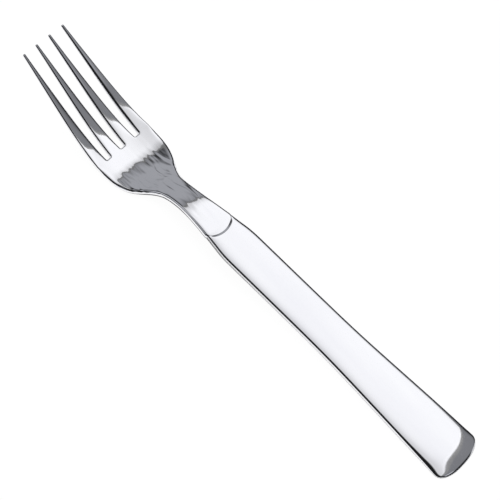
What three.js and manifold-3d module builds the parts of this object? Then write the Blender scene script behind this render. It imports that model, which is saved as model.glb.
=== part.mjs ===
// Steak fork with a hollow handle. Millimetres, +Z up. It lies on the table plane z = 0, tines towards +Y.
// The head (tines, root, neck and tang) is one pressed forging. The handle is two drawn half shells,
// brazed along a seam at mid-thickness, and the tang sits in cement inside it.
// Every piece is modelled in the handle's frame, with y = 0 at the butt and the seam plane at z = 0.
// The finished fork is then tilted until its belly and its heel touch the table.
import * as THREE from "three";
import { mergeVertices } from "three/addons/utils/BufferGeometryUtils.js";
import Module from "manifold-3d";

const wasm = await Module();
wasm.setup();
const { clamp, degToRad, lerp, smoothstep } = THREE.MathUtils;

// Handle plan
const HANDLE_LENGTH = 112;
const BUTT_WIDTH = 20.8;
const GRIP_WIDTH = 14.8;
const FLARE_START = 56;
const FLARE_BLEND = 10;
const TAPER_LENGTH = 8;
const BUTT_ROUND_LENGTH = 4.8;
const BUTT_ROUND_POWER = 2.1;
const BUTT_FLAT_SHARE = 0.1;
const HANDLE_BOW = 0.2;

// Handle section: a flat-topped arch above the seam and another below it
const FRONT_RISE_BUTT = 1.35;
const BACK_RISE_BUTT = 1.5;
const MOUTH_STEP = 0.35;
const CROWN_POWER = 8;
const BUTT_ROLL_LENGTH = 6;
const FRONT_DROOP = 0.75;
const BACK_DROOP = 1;

// Shells, seam, mouth and filler
const SHELL_WALL = 0.55;
const BRAZE_THICKNESS = 0.2;
const BRAZE_CLEARANCE = 0.05;
const BRAZE_RECESS = 0.1;
const MOUTH_ARC_RADIUS = 12;
const MOUTH_GAP = 0.1;
const COLLAR_LENGTH = 3;
const CEMENT_GAP = 0.1;
const CEMENT_PAST_TANG = 8;

// Spine of the head: an S from the mouth down to the belly, then a rising curve to the tips
const BELLY_REACH = 41.7;
const BELLY_DROP = 9;
const CREST_HANDLE = 25.7;
const NECK_HANDLE = 18;
const BELLY_HANDLE = 14;
const TIP_REACH = 48;
const TIP_RISE = 18.2;
const TIP_ANGLE = degToRad(26);
const TIP_HANDLE = 26;

// Head blank, measured along the spine from the mouth
const NECK_WIDTH = 9.6;
const NECK_TAPER_LENGTH = 18.7;
const NECK_STRAIGHT_LENGTH = 2;
const SHOULDER_LENGTH = 23.5;
const SHOULDER_NECK_HANDLE = 11.4;
const SHOULDER_HEAD_HANDLE = 13.7;
const ROOT_LENGTH = 4.4;

// Tines
const TINE_COUNT = 4;
const ROOT_PITCH = 7;
const TIP_PITCH = 6;
const ROOT_TINE_WIDTH = 4.9;
const TIP_TINE_WIDTH = 1.15;
const TINE_TAPER_POWER = 1.1;
const TIP_ROUND_LENGTH = 0.7;
const TIP_ROUND_SHARE = 0.5;

// Head section
const NECK_THICKNESS = 2.4;
const ROOT_THICKNESS = 2.2;
const TIP_THICKNESS = 0.85;
const EDGE_ROUND = 0.35;
const DISH_DEPTH = 0.9;

// Tang
const TANG_LENGTH = 48;
const TANG_ROOT_WIDTH = 7;
const TANG_END_WIDTH = 4.6;
const TANG_THICKNESS = 1.2;
const TANG_SEAT = 3;
const TANG_CLEARANCE = 0.15;
const TANG_NOTCH_DEPTH = 0.9;
const TANG_NOTCH_LENGTH = 3;
const TANG_NOTCH_SPACING = 14;

// Heel: the flat on the back of the butt that the fork rests on
const HEEL_FLAT_DEPTH = 0.15;

// Facets
const HANDLE_STATIONS = 20;
const BUTT_STATIONS = 8;
const ARCH_SEGMENTS = 16;
const NECK_ROWS = 12;
const SHOULDER_ROWS = 14;
const TINE_ROWS = 16;
const TINE_LINES = [-1, -0.72, 0, 0.72, 1];
const MOUTH_ARC_SEGMENTS = 96;

// Limits of the numeric work
const MERGE_DISTANCE = 1e-4;
const STEEPEST_TILT = degToRad(20);
const TILT_STEP = 1e-7;

// Sizes that follow
const MOUTH_RISE = NECK_THICKNESS / 2 + MOUTH_STEP;
const SEAM_GAP = BRAZE_THICKNESS + 2 * BRAZE_CLEARANCE;
const NECK_END = NECK_TAPER_LENGTH + NECK_STRAIGHT_LENGTH;
const SHOULDER_END = NECK_END + SHOULDER_LENGTH;
const SLOT_START = SHOULDER_END + ROOT_LENGTH;

const steel = new THREE.MeshStandardMaterial({ color: 0xd4d5d8, roughness: 0.12, metalness: 1 });
const braze = new THREE.MeshStandardMaterial({ color: 0xc9c4b4, roughness: 0.3, metalness: 1 });
const cement = new THREE.MeshStandardMaterial({ color: 0x8d8377, roughness: 0.9, metalness: 0 });

// Solids and booleans
function solidOf(geometry) {
  const bare = geometry.clone();
  bare.deleteAttribute("normal");
  bare.deleteAttribute("uv");
  const merged = mergeVertices(bare, MERGE_DISTANCE);
  return new wasm.Manifold(new wasm.Mesh({
    numProp: 3,
    vertProperties: new Float32Array(merged.attributes.position.array),
    triVerts: new Uint32Array(merged.index.array),
  }));
}

function geometryOf(solid) {
  const mesh = solid.getMesh();
  const geometry = new THREE.BufferGeometry();
  geometry.setAttribute("position", new THREE.BufferAttribute(mesh.vertProperties, 3));
  geometry.setIndex(new THREE.BufferAttribute(mesh.triVerts, 1));
  geometry.computeVertexNormals();
  return geometry;
}

function surface(points, faces) {
  const geometry = new THREE.BufferGeometry().setFromPoints(points);
  geometry.setIndex(faces.flat());
  return geometry;
}

// A closed loft along +Y through rings of equal length, each running clockwise seen along +Y
function loft(rings) {
  const count = rings[0].length;
  const last = (rings.length - 1) * count;
  const flat = (ring) => ring.map((p) => new THREE.Vector2(p.x, p.z));
  const cap = (ring) => THREE.ShapeUtils.triangulateShape(flat(ring), []);
  const faces = cap(rings[0]);
  for (const [i, j, k] of cap(rings.at(-1))) {
    faces.push([last + i, last + k, last + j]);
  }
  for (let start = 0; start < last; start += count) {
    for (let i = 0; i < count; i++) {
      const a = start + i;
      const b = start + (i + 1) % count;
      faces.push([a, b, b + count], [a, b + count, a + count]);
    }
  }
  return surface(rings.flat(), faces);
}

function block(minimum, maximum) {
  const size = new THREE.Vector3().subVectors(maximum, minimum);
  const centre = new THREE.Vector3().addVectors(minimum, maximum).multiplyScalar(0.5);
  return new THREE.BoxGeometry(size.x, size.y, size.z).translate(centre.x, centre.y, centre.z);
}

// Quarter of a superellipse: 0 at the end, 1 from the given length on
function roundedEnd(distance, length, power) {
  const share = clamp(1 - distance / length, 0, 1);
  return (1 - share ** power) ** (1 / power);
}

// Half-width of the shank, y along the developed length from the butt to the end of the neck
function shankHalfWidth(y) {
  const flare = (at) => (Math.hypot(FLARE_START - at, FLARE_BLEND) + FLARE_START - at) / 2;
  const grip = (GRIP_WIDTH + (BUTT_WIDTH - GRIP_WIDTH) * flare(y) / flare(0)) / 2;
  const taper = smoothstep(y, HANDLE_LENGTH - TAPER_LENGTH, HANDLE_LENGTH + NECK_TAPER_LENGTH);
  return lerp(grip, NECK_WIDTH / 2, taper);
}

// Distance along the shank from the middle of the mouth to its arc at x
function mouthArc(x, radius) {
  return MOUTH_ARC_RADIUS - Math.sqrt(radius ** 2 - x ** 2);
}

const MOUTH_HALF_WIDTH = shankHalfWidth(HANDLE_LENGTH);
const MOUTH_SAG = mouthArc(MOUTH_HALF_WIDTH, MOUTH_ARC_RADIUS);

// Handle: full section lofted from the butt to past the mouth, drawn in by the inset all round
function handleRing(y, inset) {
  const fromEnd = y - inset;
  const plan = lerp(BUTT_FLAT_SHARE, 1, roundedEnd(fromEnd, BUTT_ROUND_LENGTH, BUTT_ROUND_POWER));
  const roll = clamp(1 - y / BUTT_ROLL_LENGTH, 0, 1) ** 2;
  const halfWidth = (shankHalfWidth(y) - inset) * plan;
  const along = y / HANDLE_LENGTH;
  const rise = (buttRise, droop) => {
    const full = lerp(buttRise, MOUTH_RISE, along) - droop * roll;
    return Math.max(full - inset, SEAM_GAP / 2);
  };
  const arch = (height) => Array.from({ length: ARCH_SEGMENTS }, (_, i) => {
    const angle = Math.PI * i / ARCH_SEGMENTS;
    const across = Math.sign(Math.cos(angle)) * Math.abs(Math.cos(angle)) ** (2 / CROWN_POWER);
    return new THREE.Vector2(across, height * Math.sin(angle) ** (2 / CROWN_POWER));
  });
  const front = arch(rise(FRONT_RISE_BUTT, FRONT_DROOP));
  const back = arch(rise(BACK_RISE_BUTT, BACK_DROOP));
  return [
    ...front.map((p) => new THREE.Vector3(-halfWidth * p.x, y, p.y)),
    ...back.map((p) => new THREE.Vector3(halfWidth * p.x, y, -p.y)),
  ];
}

function handleSolid(inset, end) {
  const rings = [];
  for (let i = 0; i < BUTT_STATIONS; i++) {
    const turn = 1 - Math.cos(Math.PI / 2 * i / BUTT_STATIONS);
    rings.push(handleRing(inset + BUTT_ROLL_LENGTH * turn, inset));
  }
  for (let i = 0; i <= HANDLE_STATIONS; i++) {
    rings.push(handleRing(lerp(inset + BUTT_ROLL_LENGTH, end, i / HANDLE_STATIONS), inset));
  }
  return solidOf(loft(rings));
}

// Tang: a tapered strip with keying notches, drawn from inside the neck to its end in the handle
function tangSolid(clearance) {
  const halfWidth = (back) => lerp(TANG_ROOT_WIDTH, TANG_END_WIDTH, back / TANG_LENGTH) / 2 + clearance;
  const half = TANG_NOTCH_LENGTH / 2 - clearance;
  const side = [[halfWidth(0), -TANG_SEAT]];
  for (let at = TANG_NOTCH_SPACING; at < TANG_LENGTH - TANG_NOTCH_SPACING; at += TANG_NOTCH_SPACING) {
    const floor = halfWidth(at) - TANG_NOTCH_DEPTH;
    side.push([halfWidth(at - half), at - half]);
    side.push([floor, at - half / 2], [floor, at + half / 2]);
    side.push([halfWidth(at + half), at + half]);
  }
  side.push([halfWidth(TANG_LENGTH), TANG_LENGTH + clearance]);
  const right = side.map(([x, back]) => new THREE.Vector2(x, HANDLE_LENGTH - back));
  const left = right.toReversed().map((p) => new THREE.Vector2(-p.x, p.y));
  const outline = new THREE.Shape([...right, ...left]);
  const thickness = TANG_THICKNESS + 2 * clearance;
  const strip = new THREE.ExtrudeGeometry(outline, { depth: thickness, bevelEnabled: false });
  return solidOf(strip.translate(0, 0, -thickness / 2));
}

// Spine of the head, in the plane x = 0
const belly = new THREE.Vector2(HANDLE_LENGTH + BELLY_REACH, -BELLY_DROP);
const tip = new THREE.Vector2(belly.x + TIP_REACH, belly.y + TIP_RISE);
const tipDirection = new THREE.Vector2(Math.cos(TIP_ANGLE), Math.sin(TIP_ANGLE));
const spine = new THREE.CurvePath();
spine.add(new THREE.CubicBezierCurve(
  new THREE.Vector2(HANDLE_LENGTH, 0),
  new THREE.Vector2(HANDLE_LENGTH + CREST_HANDLE, 0),
  new THREE.Vector2(belly.x - NECK_HANDLE, belly.y),
  belly,
));
spine.add(new THREE.CubicBezierCurve(
  belly,
  new THREE.Vector2(belly.x + BELLY_HANDLE, belly.y),
  tip.clone().addScaledVector(tipDirection, -TIP_HANDLE),
  tip,
));
const HEAD_LENGTH = spine.getLength();

// Point of the formed head: s along the spine, x across, lift square to the sheet
function formed(s, x, lift) {
  const share = clamp(s / HEAD_LENGTH, 0, 1);
  const centre = spine.getPoint(share);
  const along = spine.getTangent(share);
  return new THREE.Vector3(x, centre.x - along.y * lift, centre.y + along.x * lift);
}

// Where the blank's lines lie across the tines, at a share of their length back from the tips
function tineLines(fromTip, widthShare) {
  const pitch = lerp(TIP_PITCH, ROOT_PITCH, fromTip);
  const half = lerp(TIP_TINE_WIDTH, ROOT_TINE_WIDTH, fromTip ** TINE_TAPER_POWER) / 2 * widthShare;
  const centres = Array.from({ length: TINE_COUNT }, (_, i) => (i - (TINE_COUNT - 1) / 2) * pitch);
  return centres.flatMap((centre) => TINE_LINES.map((share) => centre + half * share));
}

const ROOT_LINES = tineLines(1, 1);
const HEAD_HALF_WIDTH = ROOT_LINES.at(-1);
const shoulder = new THREE.CubicBezierCurve(
  new THREE.Vector2(NECK_END, NECK_WIDTH / 2),
  new THREE.Vector2(NECK_END + SHOULDER_NECK_HANDLE, NECK_WIDTH / 2),
  new THREE.Vector2(SHOULDER_END - SHOULDER_HEAD_HANDLE, HEAD_HALF_WIDTH),
  new THREE.Vector2(SHOULDER_END, HEAD_HALF_WIDTH),
);

// Rows of the blank from the mouth to the tips: its lines across and along, and whether slots are open
function blankRows() {
  const rows = [];
  const plain = (halfWidth) => ROOT_LINES.map((x) => x * halfWidth / HEAD_HALF_WIDTH);
  for (let i = 0; i < NECK_ROWS; i++) {
    const share = i / NECK_ROWS;
    const lines = plain(shankHalfWidth(HANDLE_LENGTH + lerp(MOUTH_SAG, NECK_END, share)));
    const along = lines.map((x) => lerp(mouthArc(x, MOUTH_ARC_RADIUS - MOUTH_GAP), NECK_END, share));
    rows.push({ lines, along, slots: false });
  }
  for (let i = 0; i <= SHOULDER_ROWS; i++) {
    const { x: s, y: halfWidth } = shoulder.getPoint(i / SHOULDER_ROWS);
    rows.push({ lines: plain(halfWidth), along: ROOT_LINES.map(() => s), slots: false });
  }
  const tineLength = HEAD_LENGTH - TIP_ROUND_LENGTH - SLOT_START;
  for (let i = 0; i <= TINE_ROWS; i++) {
    const share = i / TINE_ROWS;
    const along = ROOT_LINES.map(() => SLOT_START + tineLength * share);
    rows.push({ lines: tineLines(1 - share, 1), along, slots: true });
  }
  const tipEnds = ROOT_LINES.map(() => HEAD_LENGTH);
  rows.push({ lines: tineLines(0, TIP_ROUND_SHARE), along: tipEnds, slots: true });
  return rows;
}

function headThickness(s) {
  const neck = lerp(NECK_THICKNESS, ROOT_THICKNESS, smoothstep(s, NECK_END, SHOULDER_END));
  return lerp(neck, TIP_THICKNESS, clamp((s - SHOULDER_END) / (HEAD_LENGTH - SHOULDER_END), 0, 1));
}

// Tines, root and neck: the pierced blank, pressed to the spine and dished across
function headSheet() {
  const rows = blankRows();
  const perTine = TINE_LINES.length;
  const lineCount = ROOT_LINES.length;
  const tops = [];
  const bottoms = [];
  rows.forEach(({ lines, along, slots }) => lines.forEach((x, j) => {
    const s = along[j];
    const onTineEdge = j % perTine === 0 || j % perTine === perTine - 1;
    const onOutline = j === 0 || j === lineCount - 1;
    const open = smoothstep(s, SLOT_START, SLOT_START + ROOT_TINE_WIDTH);
    const edge = EDGE_ROUND * (onOutline ? 1 : slots && onTineEdge ? open : 0);
    const dish = DISH_DEPTH * smoothstep(s, NECK_END, SHOULDER_END) * (x / HEAD_HALF_WIDTH) ** 2;
    const half = headThickness(s) / 2;
    tops.push(formed(s, x, dish + half - edge));
    bottoms.push(formed(s, x, dish - half + edge));
  }));
  const faces = [];
  const cell = (r, j) => r >= 0 && r < rows.length - 1 && j >= 0 && j < lineCount - 1
    && !(rows[r].slots && j % perTine === perTine - 1);
  const quad = (a, b, c, d) => faces.push([a, b, c], [a, c, d]);
  const under = tops.length;
  for (let r = 0; r < rows.length - 1; r++) {
    for (let j = 0; j < lineCount - 1; j++) {
      if (!cell(r, j)) continue;
      const near = r * lineCount + j;
      const far = near + lineCount;
      const corners = [near, near + 1, far + 1, far];
      const neighbours = [cell(r - 1, j), cell(r, j + 1), cell(r + 1, j), cell(r, j - 1)];
      quad(...corners);
      quad(...corners.toReversed().map((v) => v + under));
      corners.forEach((a, side) => {
        const b = corners[(side + 1) % 4];
        if (!neighbours[side]) quad(b, a, a + under, b + under);
      });
    }
  }
  return solidOf(surface([...tops, ...bottoms], faces));
}

const headBlank = headSheet().add(tangSolid(0));

// Shells, braze and cement
const HANDLE_DEPTH = FRONT_RISE_BUTT + BACK_RISE_BUTT;
const CORNERS_END = HANDLE_LENGTH + 2 * MOUTH_SAG;
const slab = (low, high, start = -BUTT_WIDTH) => solidOf(block(
  new THREE.Vector3(-BUTT_WIDTH, start, low),
  new THREE.Vector3(BUTT_WIDTH, CORNERS_END + BUTT_WIDTH, high),
));
const mouthCut = solidOf(
  new THREE.CylinderGeometry(MOUTH_ARC_RADIUS, MOUTH_ARC_RADIUS, 2 * HANDLE_DEPTH, MOUTH_ARC_SEGMENTS)
    .rotateX(Math.PI / 2)
    .translate(0, HANDLE_LENGTH + MOUTH_ARC_RADIUS, 0),
);
const tangPocket = tangSolid(TANG_CLEARANCE);
const cavity = handleSolid(SHELL_WALL, HANDLE_LENGTH - COLLAR_LENGTH);
const hollow = (inset) => handleSolid(inset, CORNERS_END)
  .subtract(cavity)
  .subtract(mouthCut)
  .subtract(tangPocket);
const shellPair = hollow(0);
const frontHalf = shellPair.intersect(slab(SEAM_GAP / 2, HANDLE_DEPTH));
const backHalf = shellPair.intersect(slab(-HANDLE_DEPTH, -SEAM_GAP / 2));
const seamStrip = hollow(BRAZE_RECESS).intersect(slab(-BRAZE_THICKNESS / 2, BRAZE_THICKNESS / 2));
const fillerStart = HANDLE_LENGTH - TANG_LENGTH - CEMENT_PAST_TANG;
const fillerEnd = HANDLE_LENGTH - COLLAR_LENGTH - CEMENT_GAP;
const filler = handleSolid(SHELL_WALL + CEMENT_GAP, fillerEnd)
  .intersect(slab(-HANDLE_DEPTH, HANDLE_DEPTH, fillerStart))
  .subtract(tangPocket);

// Slight arch along the handle, which the head carries on in a straight line
function arched(solid) {
  const geometry = geometryOf(solid);
  const position = geometry.attributes.position;
  for (let i = 0; i < position.count; i++) {
    const share = position.getY(i) / HANDLE_LENGTH;
    const bow = share < 1 ? 4 * share * (1 - share) : 4 * (1 - share);
    position.setZ(i, position.getZ(i) + HANDLE_BOW * bow);
  }
  return solidOf(geometry);
}

const head = arched(headBlank);
const backBlank = arched(backHalf);

// Tilt at which the belly and the heel, less the depth of its flat, lie on one table plane
function lowest(solid, tilt) {
  const points = solid.getMesh().vertProperties;
  let least = Infinity;
  for (let i = 0; i < points.length; i += 3) {
    least = Math.min(least, points[i + 1] * Math.sin(tilt) + points[i + 2] * Math.cos(tilt));
  }
  return least;
}

function restTilt() {
  let low = 0;
  let high = STEEPEST_TILT;
  while (high - low > TILT_STEP) {
    const middle = (low + high) / 2;
    if (lowest(head, middle) < lowest(backBlank, middle) + HEEL_FLAT_DEPTH) {
      low = middle;
    } else {
      high = middle;
    }
  }
  return high;
}

const tilt = restTilt();
const table = block(
  new THREE.Vector3(-BUTT_WIDTH, -HANDLE_LENGTH, -HANDLE_LENGTH),
  new THREE.Vector3(BUTT_WIDTH, HANDLE_LENGTH, lowest(backBlank, tilt) + HEEL_FLAT_DEPTH),
).rotateX(-tilt);
const backShell = backBlank.subtract(solidOf(table));

function piece(name, solid, material) {
  const mesh = new THREE.Mesh(geometryOf(solid), material);
  mesh.name = name;
  return mesh;
}

const fork = new THREE.Group();
fork.add(
  piece("fork_head", head, steel),
  piece("handle_front_shell", arched(frontHalf), steel),
  piece("handle_back_shell", backShell, steel),
  piece("seam_braze", arched(seamStrip), braze),
  piece("tang_cement", arched(filler), cement),
);
fork.rotation.x = tilt;
const extent = new THREE.Box3().setFromObject(fork, true);
fork.position.set(0, -(extent.min.y + extent.max.y) / 2, -extent.min.z);

const object = new THREE.Group();
object.add(fork);
export default object;
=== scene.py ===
"""Steak fork in polished stainless steel, lying on a white table under an overhead softbox."""
import math
from bisect import bisect_right

import bmesh
import bpy
from mathutils import Matrix, Quaternion, Vector
from mathutils.geometry import interpolate_bezier


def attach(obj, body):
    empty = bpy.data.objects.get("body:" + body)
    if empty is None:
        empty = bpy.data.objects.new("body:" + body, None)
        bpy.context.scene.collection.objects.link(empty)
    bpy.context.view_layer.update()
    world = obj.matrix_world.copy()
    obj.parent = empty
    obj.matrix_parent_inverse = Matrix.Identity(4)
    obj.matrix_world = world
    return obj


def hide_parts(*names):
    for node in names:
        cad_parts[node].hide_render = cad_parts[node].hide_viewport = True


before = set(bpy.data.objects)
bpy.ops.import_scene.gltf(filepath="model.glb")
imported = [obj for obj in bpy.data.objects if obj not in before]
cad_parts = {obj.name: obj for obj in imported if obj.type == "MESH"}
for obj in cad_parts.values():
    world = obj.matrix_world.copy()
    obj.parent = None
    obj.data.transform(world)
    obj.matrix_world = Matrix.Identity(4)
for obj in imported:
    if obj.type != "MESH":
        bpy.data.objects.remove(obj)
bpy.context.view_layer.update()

# The pieces are modelled in millimetres in the handle's own frame: y = 0 at the butt, seam plane at z = 0.
# PLACE tilts the fork on to its belly and heel and takes it to the row frame, in metres.
MM = 0.001
REST_TILT = math.radians(3.5283)
BUTT_PLACE = Vector((0, -100.471, 0.981)) * MM
PLACE = Matrix.Translation(BUTT_PLACE) @ Matrix.Rotation(REST_TILT, 4, "X") @ Matrix.Scale(MM, 4)

# Handle plan
HANDLE_LENGTH = 112
BUTT_WIDTH = 20.8
GRIP_WIDTH = 14.8
FLARE_START = 56
FLARE_BLEND = 10
TAPER_LENGTH = 8
BUTT_ROUND_LENGTH = 4.8
BUTT_ROUND_POWER = 2.1
BUTT_FLAT_SHARE = 0.1
BUTT_CORNER_SHARE = 0.87
HANDLE_BOW = 0.2

# Handle section: a flat-topped arch above the seam and another below it
FRONT_RISE_BUTT = 1.35
BACK_RISE_BUTT = 1.5
MOUTH_STEP = 0.12
CROWN_POWER = 5.8
BUTT_CROWN_POWER = 3.2
BUTT_CROWN_START = 3
BUTT_CROWN_END = 22
BUTT_ROLL_LENGTH = 8.6
BUTT_ROLL_BLEND = 6
FRONT_DROOP = 0.72
BACK_DROOP = 1.15
BUTT_EDGE_ROUND = 0.8
BUTT_EDGE_POWER = 1.25

# Shells, seam and mouth
SHELL_WALL = 0.5
SEAM_GAP = 0.3
BRAZE_THICKNESS = 0.28
BRAZE_RECESS = 0.02
MOUTH_ARC_RADIUS = 12
MOUTH_GAP = 0.7
MOUTH_SHARE = 0.86
MOUTH_TUCK = 0.45
LIP_ROUND = 1.1
LIP_DROP = 0.5
LIP_POWER = 1.3

# Spine of the head
BELLY_REACH = 41.7
BELLY_DROP = 9
CREST_HANDLE = 29
NECK_HANDLE = 16.5
BELLY_HANDLE = 14
TIP_REACH = 48
TIP_RISE = 18.2
TIP_ANGLE = math.radians(26)
TIP_HANDLE = 26
SPINE_SAMPLES = 400

# Head blank, measured along the spine from the mouth
NECK_WIDTH = 9.6
NECK_TAPER_LENGTH = 18.7
NECK_END = 20.7
SHOULDER_END = 44.2
SHOULDER_NECK_HANDLE = 10.4
SHOULDER_HEAD_HANDLE = 13.7
SLOT_START = 48.6

# Tines
TINE_COUNT = 4
ROOT_PITCH = 6.92
TIP_PITCH = 6
ROOT_TINE_WIDTH = 5.13
TIP_TINE_WIDTH = 1.15
TINE_TAPER_POWER = 1.1
TIP_ROUND = 0.7
TIP_FLAT_SHARE = 0.4
TINE_CROWN = 0.1

# Head section
NECK_THICKNESS = 2.4
ROOT_THICKNESS = 2.2
TIP_THICKNESS = 0.85
EDGE_REACH = 0.65
TINE_EDGE_REACH = 0.42
SLOT_EDGE_REACH = 0.3
NECK_CROWN = 0.13
NECK_CROWN_REACH = 1.3
EDGE_SHARE = 0.45
DISH_DEPTH = 0.9

# Tang
TANG_LENGTH = 48
TANG_ROOT_WIDTH = 7
TANG_END_WIDTH = 4.6
TANG_THICKNESS = 1.2
TANG_SHOULDER = 0.3

# Mesh density
HANDLE_COLUMNS = 28
BRAZE_COLUMNS = 40
BRAZE_END_ROWS = 4
BUTT_ROWS = 16
SHANK_ROWS = 32
LIP_ROWS = 5
TINE_COLUMNS = 8
NECK_ROWS = 14
SHOULDER_ROWS = 16
ROOT_ROWS = 6
TINE_ROWS = 24
TIP_ROWS = 4
MERGE_DISTANCE = 1e-4
SMOOTH_LEVELS = 2

MOUTH_RISE = NECK_THICKNESS / 2 + MOUTH_STEP


def lerp(a, b, share):
    return a + (b - a) * share


def smoothstep(value, low, high):
    share = min(max((value - low) / (high - low), 0), 1)
    return share * share * (3 - 2 * share)


def quarter_wave(step, steps):
    """Rises from 0 to 1 as a sine does, in ever smaller steps."""
    return math.sin(math.pi / 2 * step / steps)


def edge_spaced(i, columns):
    """Where column i lies across a strip, from -1 to 1: ever closer towards the edges."""
    return quarter_wave(quarter_wave(2 * i / columns - 1, 1), 1)


def arch(share, power):
    """Flat-topped arch: 1 in the middle, 0 where the share is -1 or 1."""
    return (1 - min(abs(share), 1) ** power) ** (1 / power)


def rounded_end(distance, length, power=2):
    """Half of such an arch: 0 at the end, 1 from the given length on."""
    return arch(max(1 - distance / length, 0), power)


def shank_half_width(y):
    """Half-width of the handle and neck at a developed length from the butt."""
    def flare(at):
        return (math.hypot(FLARE_START - at, FLARE_BLEND) + FLARE_START - at) / 2

    grip = (GRIP_WIDTH + (BUTT_WIDTH - GRIP_WIDTH) * flare(y) / flare(0)) / 2
    taper = smoothstep(y, HANDLE_LENGTH - TAPER_LENGTH, HANDLE_LENGTH + NECK_TAPER_LENGTH)
    return lerp(grip, NECK_WIDTH / 2, taper)


def mouth_arc(x):
    """Distance along the shank from the middle of the mouth to its arc at x."""
    return MOUTH_ARC_RADIUS - math.sqrt(MOUTH_ARC_RADIUS ** 2 - x ** 2)


def bow(y):
    """Lift of the handle's slight arch, which the head carries on in a straight line."""
    share = y / HANDLE_LENGTH
    return HANDLE_BOW * 4 * (share * (1 - share) if share < 1 else 1 - share)


# Bmesh steps that the pieces share
def grid_sheet(columns, rows, place, is_open=lambda i, j: False):
    """A sheet of quads whose vertex in column i and row j lies at place(i, j), less its open cells."""
    bm = bmesh.new()
    bmesh.ops.create_grid(bm, x_segments=columns, y_segments=rows, size=1)
    cells = {f: f.calc_center_median() for f in bm.faces}
    gone = [f for f, c in cells.items()
            if is_open(int((c.x + 1) / 2 * columns), int((c.y + 1) / 2 * rows))]
    bmesh.ops.delete(bm, geom=gone, context="FACES")
    for v in bm.verts:
        v.co = place(round((v.co.x + 1) / 2 * columns), round((v.co.y + 1) / 2 * rows))
    return bm


def put_piece(bm, name, nodes, material):
    """Makes the object at its place in the row frame, riding on the fork's one body."""
    for v in bm.verts:
        v.co.z += bow(v.co.y)
    bmesh.ops.transform(bm, matrix=PLACE, verts=bm.verts[:])
    for v in bm.verts:
        v.co.z = max(v.co.z, 0)
    bmesh.ops.recalc_face_normals(bm, faces=bm.faces[:])
    mesh = bpy.data.meshes.new(name)
    bm.to_mesh(mesh)
    bm.free()
    mesh.shade_smooth()
    mesh.materials.append(material)
    piece = bpy.data.objects.new(name, mesh)
    bpy.context.scene.collection.objects.link(piece)
    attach(piece, "root")
    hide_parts(*nodes)
    return piece


def smooth(piece):
    rounding = piece.modifiers.new("smooth", "SUBSURF")
    rounding.levels = SMOOTH_LEVELS
    rounding.render_levels = SMOOTH_LEVELS


def give_wall(piece, thickness):
    wall = piece.modifiers.new("wall", "SOLIDIFY")
    wall.thickness = thickness * MM
    wall.offset = -1
    wall.use_even_offset = True


# Handle
def butt_end(x):
    """How far the rounded end of the butt has drawn in at x."""
    share = (abs(x) / shank_half_width(0) - BUTT_FLAT_SHARE) / (1 - BUTT_FLAT_SHARE)
    return BUTT_ROUND_LENGTH * (1 - arch(max(share, 0), BUTT_ROUND_POWER))


def handle_half_width(y):
    rounded = rounded_end(y, BUTT_ROUND_LENGTH, BUTT_ROUND_POWER)
    tuck = MOUTH_TUCK * smoothstep(y, HANDLE_LENGTH - TAPER_LENGTH, HANDLE_LENGTH)
    return shank_half_width(y) * lerp(BUTT_FLAT_SHARE, 1, rounded) - tuck


BUTT_CORNER_X = shank_half_width(0) * lerp(BUTT_FLAT_SHARE, 1, BUTT_CORNER_SHARE)
BUTT_CORNER_Y = butt_end(BUTT_CORNER_X)
MOUTH_HALF_WIDTH = shank_half_width(HANDLE_LENGTH)
SIDE_LENGTH = HANDLE_LENGTH + mouth_arc(MOUTH_HALF_WIDTH) - BUTT_CORNER_Y
HANDLE_ROWS = BUTT_ROWS + SHANK_ROWS + LIP_ROWS


def handle_row(j):
    """How far along the handle's side row j lies: close rows at the butt and the lip, even ones between."""
    if j < BUTT_ROWS:
        return BUTT_ROLL_LENGTH * (1 - quarter_wave(BUTT_ROWS - j, BUTT_ROWS))
    if j <= BUTT_ROWS + SHANK_ROWS:
        return lerp(BUTT_ROLL_LENGTH, SIDE_LENGTH - LIP_ROUND, (j - BUTT_ROWS) / SHANK_ROWS)
    return SIDE_LENGTH - LIP_ROUND * (1 - quarter_wave(j - BUTT_ROWS - SHANK_ROWS, LIP_ROWS))


def handle_plan(across, along):
    """Point of the handle's plan on the seam plane, by its share of the half-width and its place along."""
    end = butt_end(across * BUTT_CORNER_X)
    mouth = HANDLE_LENGTH + mouth_arc(across * MOUTH_HALF_WIDTH)
    half = handle_half_width(BUTT_CORNER_Y + along)
    return Vector((across * half, lerp(end, mouth, along / SIDE_LENGTH), 0))


def butt_roll(along):
    """How far the face has rolled over towards the butt: 1 at the end, 0 from the roll's length on."""
    def run(at):
        return math.hypot(max(BUTT_ROLL_LENGTH - at, 0), BUTT_ROLL_BLEND) - BUTT_ROLL_BLEND

    return run(along) / run(0)


def crown(across, along):
    """Height of the section: a flat-topped arch, with rounder shoulders near the butt."""
    from_butt = smoothstep(along, BUTT_CROWN_START, BUTT_CROWN_END)
    return arch(across, lerp(BUTT_CROWN_POWER, CROWN_POWER, from_butt))


def half_shell(butt_rise, droop, side):
    """Skin of a half shell, side 1 for the front and -1 for the back, rolled at the butt and the lip."""
    def place(i, j):
        across = edge_spaced(i, HANDLE_COLUMNS)
        along = handle_row(j)
        point = handle_plan(across, along)
        lip = LIP_DROP * (1 - rounded_end(SIDE_LENGTH - along, LIP_ROUND, LIP_POWER))
        lip *= arch(across / MOUTH_SHARE, 2)
        drop = droop * butt_roll(along)
        rise = lerp(butt_rise, MOUTH_RISE, point.y / HANDLE_LENGTH) - lip - drop
        edge = rounded_end(along, BUTT_EDGE_ROUND, BUTT_EDGE_POWER)
        point.z = side * lerp(SEAM_GAP / 2, rise, crown(across, along) * edge)
        return point

    return grid_sheet(HANDLE_COLUMNS, HANDLE_ROWS, place)


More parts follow.
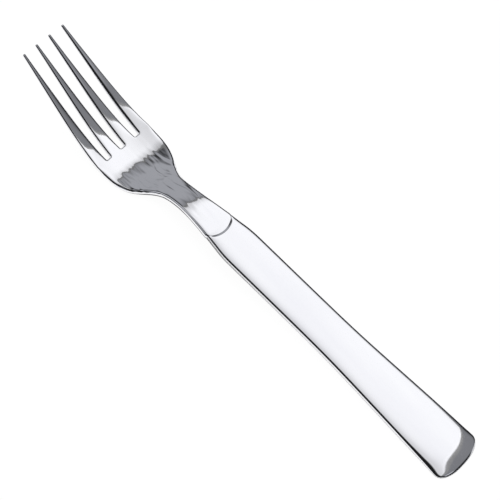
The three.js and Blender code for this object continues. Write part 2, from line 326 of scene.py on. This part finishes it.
def seam_strip():
    """The braze that fills the seam along both sides and round the butt, a hair below the surface."""
    def place(i, j):
        point = handle_plan(2 * i / BRAZE_COLUMNS - 1, handle_row(j))
        point.x -= math.copysign(min(BRAZE_RECESS, abs(point.x)), point.x)
        point.y += BRAZE_RECESS * (1 - 2 * j / HANDLE_ROWS)
        return point

    def inside(i, j):
        return 0 < i < BRAZE_COLUMNS - 1 and j >= BRAZE_END_ROWS

    bm = grid_sheet(BRAZE_COLUMNS, HANDLE_ROWS, place, inside)
    bmesh.ops.recalc_face_normals(bm, faces=bm.faces[:])
    bmesh.ops.solidify(bm, geom=bm.faces[:], thickness=BRAZE_THICKNESS)
    middle = sum(v.co.z for v in bm.verts) / len(bm.verts)
    bmesh.ops.translate(bm, verts=bm.verts[:], vec=(0, 0, -middle))
    return bm


# Head
def spine_points():
    """Points along the head's spine: an S from the mouth down to the belly, then a rise to the tips."""
    mouth = Vector((0, HANDLE_LENGTH, 0))
    belly = mouth + Vector((0, BELLY_REACH, -BELLY_DROP))
    tip = belly + Vector((0, TIP_REACH, TIP_RISE))
    along = Vector((0, 1, 0))
    tip_along = Vector((0, math.cos(TIP_ANGLE), math.sin(TIP_ANGLE)))
    down = interpolate_bezier(mouth, mouth + CREST_HANDLE * along,
                              belly - NECK_HANDLE * along, belly, SPINE_SAMPLES)
    up = interpolate_bezier(belly, belly + BELLY_HANDLE * along,
                            tip - TIP_HANDLE * tip_along, tip, SPINE_SAMPLES)
    return down + up[1:]


SPINE = spine_points()
SPINE_AT = [0.0]
for before, after in zip(SPINE, SPINE[1:]):
    SPINE_AT.append(SPINE_AT[-1] + (after - before).length)
HEAD_LENGTH = SPINE_AT[-1]
TINE_LENGTH = HEAD_LENGTH - SLOT_START


def spine_direction(k):
    return (SPINE[min(k + 1, len(SPINE) - 1)] - SPINE[max(k - 1, 0)]).normalized()


def formed(s, x, lift):
    """Point of the formed head: s along the spine, x across, lift square to the sheet."""
    k = min(max(bisect_right(SPINE_AT, s) - 1, 0), len(SPINE) - 2)
    share = (s - SPINE_AT[k]) / (SPINE_AT[k + 1] - SPINE_AT[k])
    centre = SPINE[k].lerp(SPINE[k + 1], share)
    along = spine_direction(k).lerp(spine_direction(k + 1), min(max(share, 0), 1)).normalized()
    return Vector((x, centre.y - along.z * lift, centre.z + along.y * lift))


def tine_half_width(from_tip):
    """Half-width of a tine at a distance from its tip."""
    taper = lerp(TIP_TINE_WIDTH, ROOT_TINE_WIDTH, (from_tip / TINE_LENGTH) ** TINE_TAPER_POWER)
    return taper / 2 * lerp(TIP_FLAT_SHARE, 1, rounded_end(from_tip, TIP_ROUND))


TINE_SHARES = [edge_spaced(m, TINE_COLUMNS) for m in range(TINE_COLUMNS + 1)]


def tine_line(i, from_tip):
    """Where the blank's line i lies across the tines, at a distance from their tips."""
    tine, m = divmod(i, TINE_COLUMNS + 1)
    pitch = lerp(TIP_PITCH, ROOT_PITCH, from_tip / TINE_LENGTH)
    return (tine - (TINE_COUNT - 1) / 2) * pitch + tine_half_width(from_tip) * TINE_SHARES[m]


LINE_COUNT = TINE_COUNT * (TINE_COLUMNS + 1)
ROOT_LINES = [tine_line(i, TINE_LENGTH) for i in range(LINE_COUNT)]
HEAD_HALF_WIDTH = ROOT_LINES[-1]
SLOT_LINES = range(TINE_COLUMNS, LINE_COUNT - 1, TINE_COLUMNS + 1)
SLOT_ENDS = [(ROOT_LINES[i], ROOT_LINES[i + 1]) for i in SLOT_LINES]
SHOULDER = interpolate_bezier(
    Vector((NECK_WIDTH / 2, NECK_END)),
    Vector((NECK_WIDTH / 2, NECK_END + SHOULDER_NECK_HANDLE)),
    Vector((HEAD_HALF_WIDTH, SHOULDER_END - SHOULDER_HEAD_HANDLE)),
    Vector((HEAD_HALF_WIDTH, SHOULDER_END)),
    SHOULDER_ROWS + 1,
)
ROOT_ROW = NECK_ROWS + SHOULDER_ROWS
SLOT_ROW = ROOT_ROW + ROOT_ROWS
TIP_ROW = SLOT_ROW + TINE_ROWS
HEAD_ROWS = TIP_ROW + TIP_ROWS


def head_thickness(s):
    neck = lerp(NECK_THICKNESS, ROOT_THICKNESS, smoothstep(s, NECK_END, SHOULDER_END))
    return lerp(neck, TIP_THICKNESS, min(max((s - SHOULDER_END) / (HEAD_LENGTH - SHOULDER_END), 0), 1))


def neck_point(i, j):
    """A vertex of the blank behind the slots: across, along, and how far from the nearest edge."""
    share = j / NECK_ROWS
    if j < NECK_ROWS:
        half = shank_half_width(HANDLE_LENGTH + lerp(mouth_arc(MOUTH_HALF_WIDTH), NECK_END, share))
        x = ROOT_LINES[i] * half / HEAD_HALF_WIDTH
        gap = MOUTH_GAP * arch(x / MOUTH_HALF_WIDTH / MOUTH_SHARE, 2)
        s = lerp(mouth_arc(x) + gap, NECK_END, share)
    elif j <= ROOT_ROW:
        half, s = SHOULDER[j - NECK_ROWS]
    else:
        half = HEAD_HALF_WIDTH
        s = lerp(SHOULDER_END, SLOT_START, quarter_wave(j - ROOT_ROW, ROOT_ROWS))
    x = ROOT_LINES[i] * half / HEAD_HALF_WIDTH
    from_slot = min(math.hypot(max(left - x, x - right, 0), SLOT_START - s) for left, right in SLOT_ENDS)
    return x, s, min(half - abs(x), from_slot)


def tine_point(i, j):
    """The same for a vertex on the tines."""
    if j <= TIP_ROW:
        from_tip = lerp(TINE_LENGTH, TIP_ROUND, (j - SLOT_ROW) / TINE_ROWS)
    else:
        from_tip = TIP_ROUND * (1 - quarter_wave(j - TIP_ROW, TIP_ROWS))
    share = TINE_SHARES[i % (TINE_COLUMNS + 1)]
    edge = min(tine_half_width(from_tip) * (1 - abs(share)), from_tip)
    return tine_line(i, from_tip), HEAD_LENGTH - from_tip, edge


def blank_point(i, j):
    """Vertex of the blank's upper side in column i and row j: across, along the spine, and up."""
    if j < SLOT_ROW:
        x, s, edge = neck_point(i, j)
        near_slot = smoothstep(s, SHOULDER_END, SLOT_START)
        reach = lerp(EDGE_REACH, SLOT_EDGE_REACH, near_slot)
        fall = NECK_CROWN * max(1 - edge / NECK_CROWN_REACH, 0) ** 2 * (1 - near_slot)
    else:
        x, s, edge = tine_point(i, j)
        open_share = smoothstep(s, SLOT_START, SLOT_START + ROOT_TINE_WIDTH)
        reach = min(lerp(SLOT_EDGE_REACH, TINE_EDGE_REACH, open_share),
                    EDGE_SHARE * tine_half_width(HEAD_LENGTH - s))
        fall = TINE_CROWN * TINE_SHARES[i % (TINE_COLUMNS + 1)] ** 2 * open_share
    lift = (head_thickness(s) / 2 - fall) * rounded_end(edge, reach)
    return Vector((x, s, lift))


def add_tang(bm):
    """Closes the neck's end and draws the tang out of it."""
    rim = [e for e in bm.edges if e.is_boundary]
    root = bmesh.ops.edgeloop_fill(bm, edges=rim)["faces"]
    for width, length in ((TANG_ROOT_WIDTH, TANG_SHOULDER), (TANG_END_WIDTH, TANG_LENGTH)):
        drawn = bmesh.ops.extrude_face_region(bm, geom=root)["geom"]
        bmesh.ops.delete(bm, geom=root, context="FACES_ONLY")
        root = [part for part in drawn if isinstance(part, bmesh.types.BMFace)]
        verts = [part for part in drawn if isinstance(part, bmesh.types.BMVert)]
        half = max(abs(v.co.x) for v in verts)
        height = max(abs(v.co.z) for v in verts)
        for v in verts:
            v.co = (v.co.x * width / 2 / half, -length, v.co.z * TANG_THICKNESS / 2 / height)


def fork_head():
    """The pierced blank with rounded edges, its tang drawn out, pressed to the spine and dished."""
    def in_slot(i, j):
        return j >= SLOT_ROW and i % (TINE_COLUMNS + 1) == TINE_COLUMNS

    bm = grid_sheet(LINE_COUNT - 1, HEAD_ROWS, blank_point, in_slot)
    everything = bm.verts[:] + bm.edges[:] + bm.faces[:]
    bmesh.ops.mirror(bm, geom=everything, axis="Z", merge_dist=MERGE_DISTANCE)
    add_tang(bm)
    for v in bm.verts:
        x, s, lift = v.co
        dish = DISH_DEPTH * smoothstep(s, NECK_END, SHOULDER_END) * (x / HEAD_HALF_WIDTH) ** 2
        v.co = formed(s, x, dish + lift)
    return bm


# Finishes. Grain of the steel: scale across, along and up, then detail and distortion
BUFF_LINES = ((2600, 60, 2600), 3, 0)
POLISH_WAVES = ((160, 160, 160), 2, 0)
HAND_SMEARS = ((95, 14, 95), 4, 0)
NECK_WAVES = ((200, 90, 200), 0, 1.2)
NECK_STREAKS = ((330, 55, 330), 1, 0.6)
# Heights in millimetres
WAVE_HEIGHT = 0.004
LINE_HEIGHT = 0.00012
NECK_WAVE_HEIGHT = 0.15
NECK_STREAK_HEIGHT = 0.34
# Ramps along the fork: where the wavier neck starts and ends
NECK_POLISH_START = (0.016, 0.028, 0, 1)
NECK_POLISH_END = (0.047, 0.055, 1, 0)
# Stops of the tone, and the least roughness with what the grain adds to it
STEEL_TONES = ((0.3, (0.85, 0.85, 0.875, 1)), (0.7, (0.92, 0.92, 0.93, 1)))
STEEL_ROUGHNESS = 0.03
LINE_ROUGHNESS = 0.04
SMEAR_ROUGHNESS = 0.03

# Braze: scale and detail of its pits, then tones, roughness and height
BRAZE_PITS = (1800, 3)
BRAZE_TONES = ((0.3, (0.8, 0.79, 0.76, 1)), (0.7, (0.88, 0.87, 0.85, 1)))
BRAZE_ROUGHNESS = 0.15
PIT_ROUGHNESS = 0.15
PIT_HEIGHT = 0.01

# Cement: the same of its grain
CEMENT_GRAIN = (900, 6)
CEMENT_TONES = ((0.35, (0.3, 0.26, 0.21, 1)), (0.65, (0.55, 0.51, 0.45, 1)))
CEMENT_ROUGHNESS = 0.8
GRAIN_ROUGHNESS = 0.15
GRAIN_HEIGHT = 0.1


class Socket:
    """An output socket. Arithmetic on it adds Math nodes."""

    def __init__(self, tree, socket):
        self.tree = tree
        self.socket = socket

    def math(self, operation, first, second):
        return self.tree.node("ShaderNodeMath", {"operation": operation}, {0: first, 1: second})["Value"]

    def __add__(self, other):
        return self.math("ADD", self, other)

    def __radd__(self, other):
        return self.math("ADD", other, self)

    def __sub__(self, other):
        return self.math("SUBTRACT", self, other)

    def __rsub__(self, other):
        return self.math("SUBTRACT", other, self)

    def __mul__(self, other):
        return self.math("MULTIPLY", self, other)

    def __rmul__(self, other):
        return self.math("MULTIPLY", other, self)

    def __abs__(self):
        return self.math("ABSOLUTE", self, 0)


class Node:
    """A node whose outputs are read by name."""

    def __init__(self, tree, node):
        self.tree = tree
        self.made = node

    def __getitem__(self, name):
        return Socket(self.tree, self.made.outputs[name])


class Tree:
    """Nodes of one finish, light or world."""

    def __init__(self, owner):
        owner.use_nodes = True
        self.nodes = owner.node_tree.nodes
        self.links = owner.node_tree.links
        self.nodes.clear()

    def node(self, kind, settings=None, sockets=None):
        made = self.nodes.new(kind)
        for name, value in (settings or {}).items():
            if name == "stops":
                self.set_stops(made.color_ramp.elements, value)
            else:
                setattr(made, name, value)
        for name, value in (sockets or {}).items():
            if isinstance(value, Socket):
                self.links.new(value.socket, made.inputs[name])
            else:
                made.inputs[name].default_value = value
        return Node(self, made)

    @staticmethod
    def set_stops(elements, stops):
        while len(elements) < len(stops):
            elements.new(1)
        for element, (position, colour) in zip(elements, stops):
            element.position = position
            element.color = colour


def axis_ramp(tree, value, start, end, low, high):
    """Smooth step of a value from a low to a high tone."""
    return tree.node("ShaderNodeMapRange", {"interpolation_type": "SMOOTHSTEP"}, {
        "Value": value, "From Min": start, "From Max": end, "To Min": low, "To Max": high})["Result"]


def axes(tree, source="Object"):
    """The X, Y and Z of a place on the piece, or of a direction in the room."""
    place = tree.node("ShaderNodeTexCoord")[source]
    return tree.node("ShaderNodeSeparateXYZ", {}, {"Vector": place})


def toned(tree, share, tones):
    """Colour that runs from one tone to another with a share."""
    return tree.node("ShaderNodeValToRGB", {"stops": tones}, {"Fac": share})["Color"]


def finish_surface(tree, sockets):
    shader = tree.node("ShaderNodeBsdfPrincipled", {}, sockets)
    tree.node("ShaderNodeOutputMaterial", {}, {"Surface": shader["BSDF"]})


def polished_steel(name):
    """Mirror-polished stainless steel: buffing lines along the fork, hand smears and a wavier neck."""
    material = bpy.data.materials.new(name)
    tree = Tree(material)
    place = tree.node("ShaderNodeTexCoord")["Object"]
    along = axes(tree)["Y"]

    def noise(scale, detail, distortion):
        stretched = tree.node("ShaderNodeMapping", {}, {"Vector": place, "Scale": scale})["Vector"]
        return tree.node("ShaderNodeTexNoise", {}, {
            "Vector": stretched, "Scale": 1, "Detail": detail, "Distortion": distortion})["Fac"]

    lines = noise(*BUFF_LINES)
    smears = noise(*HAND_SMEARS)
    neck = axis_ramp(tree, along, *NECK_POLISH_START) * axis_ramp(tree, along, *NECK_POLISH_END)
    rubbed = noise(*NECK_WAVES) * NECK_WAVE_HEIGHT + noise(*NECK_STREAKS) * NECK_STREAK_HEIGHT
    height = noise(*POLISH_WAVES) * WAVE_HEIGHT + lines * LINE_HEIGHT + rubbed * neck
    finish_surface(tree, {
        "Base Color": toned(tree, smears, STEEL_TONES),
        "Metallic": 1,
        "Roughness": STEEL_ROUGHNESS + lines * LINE_ROUGHNESS + smears * SMEAR_ROUGHNESS,
        "Normal": tree.node("ShaderNodeBump", {}, {
            "Height": height, "Strength": 1, "Distance": MM})["Normal"],
    })
    return material


def grained(name, grain, tones, roughness, grain_roughness, height, metallic):
    """A dull surface with an even grain, which varies its tone, roughness and height."""
    material = bpy.data.materials.new(name)
    tree = Tree(material)
    place = tree.node("ShaderNodeTexCoord")["Object"]
    scale, detail = grain
    specks = tree.node("ShaderNodeTexNoise", {}, {
        "Vector": place, "Scale": scale, "Detail": detail})["Fac"]
    finish_surface(tree, {
        "Base Color": toned(tree, specks, tones),
        "Metallic": metallic,
        "Roughness": roughness + specks * grain_roughness,
        "Normal": tree.node("ShaderNodeBump", {}, {
            "Height": specks, "Distance": height * MM})["Normal"],
    })
    return material


def silver_braze(name):
    """Braze metal in the seam: duller and a little warmer than the steel, with fine pits."""
    return grained(name, BRAZE_PITS, BRAZE_TONES, BRAZE_ROUGHNESS, PIT_ROUGHNESS, PIT_HEIGHT, 1)


def cast_cement(name):
    """Handle filler: a dull mineral grain with sandy specks."""
    return grained(name, CEMENT_GRAIN, CEMENT_TONES, CEMENT_ROUGHNESS, GRAIN_ROUGHNESS, GRAIN_HEIGHT, 0)


# Pieces
head_steel = polished_steel("head_steel")
handle_steel = polished_steel("handle_steel")

head = put_piece(fork_head(), "polished_head", ["fork_head"], head_steel)
smooth(head)

front = put_piece(half_shell(FRONT_RISE_BUTT, FRONT_DROOP, 1), "polished_front_shell",
                  ["handle_front_shell"], handle_steel)
back = put_piece(half_shell(BACK_RISE_BUTT, BACK_DROOP, -1), "polished_back_shell",
                 ["handle_back_shell"], handle_steel)
for shell in (front, back):
    smooth(shell)
    give_wall(shell, SHELL_WALL)

put_piece(seam_strip(), "seam_line", ["seam_braze"], silver_braze("braze"))

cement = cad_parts["tang_cement"]
cement.data.materials.clear()
cement.data.materials.append(cast_cement("cement"))

# Table
FLOOR_SIZE = 6
FLOOR_ALBEDO = 0.92
# Albedo and own light of the table, as it is seen directly and as the steel mirrors it
FLOOR_SEEN = (0.06, 0.95)
FLOOR_MIRRORED = (0.3, 0.68)
# A painted deep shadow on the table under the fork, which only the steel's lower edges mirror: ramps across
# and along the fork
SHADOW_ALBEDO = 0.12
SHADOW_SIDES = (0.0085, 0.0135, 1, 0)
NECK_SHADOW = (-0.03, 0.012, 0, 1)
ROOT_SHADOW = (0.044, 0.056, 1, 0)
BUTT_SHADOW = (-0.1, -0.092, 1, 0)


def stage_sheet(name, corners, height, material):
    """A level four-cornered sheet that belongs to the studio, not to the fork."""
    bm = bmesh.new()
    bmesh.ops.create_grid(bm, x_segments=1, y_segments=1, size=0.5)
    for v, corner in zip(bm.verts, corners):
        v.co = (*corner, height)
    mesh = bpy.data.meshes.new(name)
    bm.to_mesh(mesh)
    bm.free()
    mesh.materials.append(material)
    sheet = bpy.data.objects.new(name, mesh)
    bpy.context.scene.collection.objects.link(sheet)


def white_table():
    """White table. Seen directly or in the steel, its own light makes up for what the lamps leave short."""
    material = bpy.data.materials.new("white_table")
    tree = Tree(material)
    path = tree.node("ShaderNodeLightPath")

    def matt(albedo):
        return tree.node("ShaderNodeBsdfDiffuse", {}, {"Color": (albedo, albedo, albedo, 1)})["BSDF"]

    def lifted(albedo, lift):
        light = tree.node("ShaderNodeEmission", {}, {"Color": (1, 1, 1, 1), "Strength": lift})["Emission"]
        return tree.node("ShaderNodeAddShader", {}, {0: matt(albedo), 1: light})["Shader"]

    def mix(share, first, second):
        return tree.node("ShaderNodeMixShader", {}, {0: share, 1: first, 2: second})["Shader"]

    place = axes(tree)
    across = abs(place["X"])
    under_head = axis_ramp(tree, place["Y"], *NECK_SHADOW) * axis_ramp(tree, place["Y"], *ROOT_SHADOW)
    under_butt = axis_ramp(tree, place["Y"], *BUTT_SHADOW)
    # Mask of the painted shadow under the fork, shown only where the steel mirrors the table
    painted_shadow_core = axis_ramp(tree, across, *SHADOW_SIDES) * (under_head + under_butt)
    mirror_view = mix(painted_shadow_core, lifted(*FLOOR_MIRRORED), matt(SHADOW_ALBEDO))
    mirrored = path["Is Glossy Ray"] + path["Is Transmission Ray"]
    surface = mix(mirrored, matt(FLOOR_ALBEDO), mirror_view)
    surface = mix(path["Is Camera Ray"], surface, lifted(*FLOOR_SEEN))
    tree.node("ShaderNodeOutputMaterial", {}, {"Surface": surface})
    return material


FLOOR_CORNERS = [(x * FLOOR_SIZE / 2, y * FLOOR_SIZE / 2) for y in (-1, 1) for x in (-1, 1)]
stage_sheet("floor", FLOOR_CORNERS, 0, white_table())

# Light: a grey-framed softbox to the right, a fill that the steel doesn't mirror, and a dim room
SOFTBOX_HEIGHT = 1.5
SOFTBOX_CORNERS = [Vector(corner) for corner in ((0.1, -0.71), (1.33, -0.36), (0, 0.76), (1.33, 0.66))]
CLOTH_COLOUR = (0.97, 0.975, 1, 1)
FRAME_COLOUR = (1, 1, 1, 1)
# Ramps across the cloth: where each starts and ends, and its share of the glow there
CLOTH_GLOW = 1.09
CLOTH_LEFT = (0.22, 0.76, 0.68, 1)
CLOTH_RIGHT = (0.95, 1.3, 1, 0.86)
CLOTH_FAR = (0.45, 0.76, 1, 0.6)
SOFTBOX_RIM = 0.14
RIM_WIDTH = 0.07
FRAME_SHARE = 1.12
FRAME_TONE = (0.28, 0.17)
FRAME_GAP = 0.001
FILL_HEIGHT = 1.2
FILL_SIZE = 2
FILL_RADIANCE = 2


def glow(name, colour, strength):
    """A surface that only shines, with a strength worked out from its place."""
    material = bpy.data.materials.new(name)
    tree = Tree(material)
    place = axes(tree)
    shine = tree.node("ShaderNodeEmission", {}, {
        "Color": colour, "Strength": strength(tree, place["X"], place["Y"])})
    tree.node("ShaderNodeOutputMaterial", {}, {"Surface": shine["Emission"]})
    return material


def cloth_glow(tree, x, y):
    """The softbox's diffuser: dimmer at its sides, with a bright rim where the lamps stand."""
    right = SOFTBOX_CORNERS[3].x
    sides = axis_ramp(tree, x, *CLOTH_LEFT) * axis_ramp(tree, x, *CLOTH_RIGHT)
    body = sides * axis_ramp(tree, y, *CLOTH_FAR) * CLOTH_GLOW
    corner, run = SOFTBOX_CORNERS[0], SOFTBOX_CORNERS[1] - SOFTBOX_CORNERS[0]
    inside = y - corner.y - (x - corner.x) * (run.y / run.x)
    near_rim = axis_ramp(tree, inside, 0, RIM_WIDTH, SOFTBOX_RIM, 0)
    right_rim = axis_ramp(tree, x, right - RIM_WIDTH, right, 0, SOFTBOX_RIM)
    return body + near_rim + right_rim


def frame_glow(tree, x, y):
    """The frame: grey on the near side, darker on the far one."""
    return axis_ramp(tree, y, SOFTBOX_CORNERS[0].y, SOFTBOX_CORNERS[2].y, *FRAME_TONE)


def fill_light():
    lamp = bpy.data.lights.new("fill", "AREA")
    lamp.size = FILL_SIZE
    lamp.energy = FILL_RADIANCE * math.pi * FILL_SIZE ** 2
    light = bpy.data.objects.new("fill", lamp)
    light.location = (0, 0, FILL_HEIGHT)
    light.visible_glossy = False
    bpy.context.scene.collection.objects.link(light)


# Ramps of the room's tone: where it starts and ends along the direction's axis, and the tone at each
AHEAD = (-0.1, 0.25, 0, 1)
FRONT_WALL = (0.7, 0.9, 0.36, 0.12)
FRONT_LEFT = (0.14, 0.36, 0.1, 1)
FRONT_LOW = (0.12, 0.4, 0.03, 1)
FRONT_RIGHT = (0.52, 0.72, 1, 0.02)
BACK_WALL = (0.45, 0.74, 0.012, 0.21)
LEFT_SIDE = (-0.05, 0.15, 0, 1)
RIGHT_SIDE = (0.72, 0.85, 1, 0)
HORIZON = (0.02, 0.05, 0.9, 0)
# Pale walls round the rest of the room, which the steel mirrors mostly towards other sides
NEAR_WALL = (-0.68, -0.54, 0.5, 0)
NEAR_HIGH = (0.45, 0.58, 0, 1)
NEAR_LEFT = (0.02, 0.1, 0, 1)
NEAR_RIGHT = (0.27, 0.34, 1, 0)
CORNER_WALL = (-0.6, -0.48, 0.34, 0)
CORNER_SIDE = (0.52, 0.62, 0, 1)
LEFT_WALL = (-0.97, -0.9, 0.5, 0)
LEFT_NEAR = (0.04, 0.12, 1, 0)
FAR_LEFT_SIDE = (-0.22, -0.08, 1, 0)
FAR_LEFT_WALL = (0.2, 0.4, 0, 0.5)
FAR_LEFT_HIGH = (0.4, 0.55, 0, 1)
ROOM_DARK = 0.012
ROOM_SEEN = 1.05
ROOM_TINT = (0.97, 0.99, 1.06)


def dim_room():
    """Dim walls with some pale ones, and white wherever the camera sees the room directly."""
    world = bpy.data.worlds.new("room")
    bpy.context.scene.world = world
    tree = Tree(world)

    direction = axes(tree, "Generated")
    x, y, z = direction["X"], direction["Y"], direction["Z"]
    ahead = axis_ramp(tree, y, *AHEAD)
    front_sides = axis_ramp(tree, x, *FRONT_LEFT) * axis_ramp(tree, x, *FRONT_RIGHT)
    front_wall = axis_ramp(tree, z, *FRONT_WALL) * axis_ramp(tree, z, *FRONT_LOW) * front_sides
    back_sides = axis_ramp(tree, x, *LEFT_SIDE) * axis_ramp(tree, x, *RIGHT_SIDE)
    back_wall = axis_ramp(tree, z, *BACK_WALL) * back_sides
    near_sides = axis_ramp(tree, x, *NEAR_LEFT) * axis_ramp(tree, x, *NEAR_RIGHT)
    near = axis_ramp(tree, y, *NEAR_WALL) * axis_ramp(tree, z, *NEAR_HIGH) * near_sides
    corner = axis_ramp(tree, y, *CORNER_WALL) * axis_ramp(tree, x, *CORNER_SIDE)
    left = axis_ramp(tree, x, *LEFT_WALL) * axis_ramp(tree, y, *LEFT_NEAR)
    far_left_sides = axis_ramp(tree, x, *FAR_LEFT_SIDE) * axis_ramp(tree, y, *FAR_LEFT_WALL)
    far_left = far_left_sides * axis_ramp(tree, z, *FAR_LEFT_HIGH)
    pale = near + corner + left + far_left
    walls = ahead * front_wall + (1 - ahead) * back_wall + pale + axis_ramp(tree, z, *HORIZON)
    seen = tree.node("ShaderNodeLightPath")["Is Camera Ray"] * ROOM_SEEN
    tone = walls + ROOM_DARK + seen
    red, green, blue = ROOM_TINT
    tinted = tree.node("ShaderNodeCombineColor", {}, {
        "Red": tone * red, "Green": tone * green, "Blue": tone * blue})
    background = tree.node("ShaderNodeBackground", {}, {"Color": tinted["Color"], "Strength": 1})
    tree.node("ShaderNodeOutputWorld", {}, {"Surface": background["Background"]})


SOFTBOX_CENTRE = sum(SOFTBOX_CORNERS, Vector((0, 0))) / len(SOFTBOX_CORNERS)
FRAME_CORNERS = [SOFTBOX_CENTRE.lerp(corner, FRAME_SHARE) for corner in SOFTBOX_CORNERS]
stage_sheet("softbox_cloth", SOFTBOX_CORNERS, SOFTBOX_HEIGHT,
            glow("softbox_cloth", CLOTH_COLOUR, cloth_glow))
stage_sheet("softbox_frame", FRAME_CORNERS, SOFTBOX_HEIGHT + FRAME_GAP,
            glow("softbox_frame", FRAME_COLOUR, frame_glow))
fill_light()
dim_room()

# Camera
CAMERA_AZIMUTH = math.radians(66.768)
CAMERA_ELEVATION = math.radians(63.173)
CAMERA_ROLL = math.radians(21.908)
CAMERA_DISTANCE = 0.565
CAMERA_AIM = Vector((4.196, 1.379, 2.225)) * MM
CAMERA_LENS = 118.87
SENSOR_WIDTH = 36


def photo_camera():
    view = Vector((
        math.sin(CAMERA_AZIMUTH) * math.cos(CAMERA_ELEVATION),
        math.cos(CAMERA_AZIMUTH) * math.cos(CAMERA_ELEVATION),
        -math.sin(CAMERA_ELEVATION),
    ))
    lens = bpy.data.cameras.new("camera")
    lens.lens = CAMERA_LENS
    lens.sensor_width = SENSOR_WIDTH
    camera = bpy.data.objects.new("camera", lens)
    camera.location = -CAMERA_DISTANCE * view
    level = (CAMERA_AIM - camera.location).to_track_quat("-Z", "Y")
    camera.rotation_euler = (level @ Quaternion((0, 0, 1), CAMERA_ROLL)).to_euler()
    bpy.context.scene.collection.objects.link(camera)
    bpy.context.scene.camera = camera


photo_camera()
bpy.context.scene.view_settings.view_transform = "Standard"
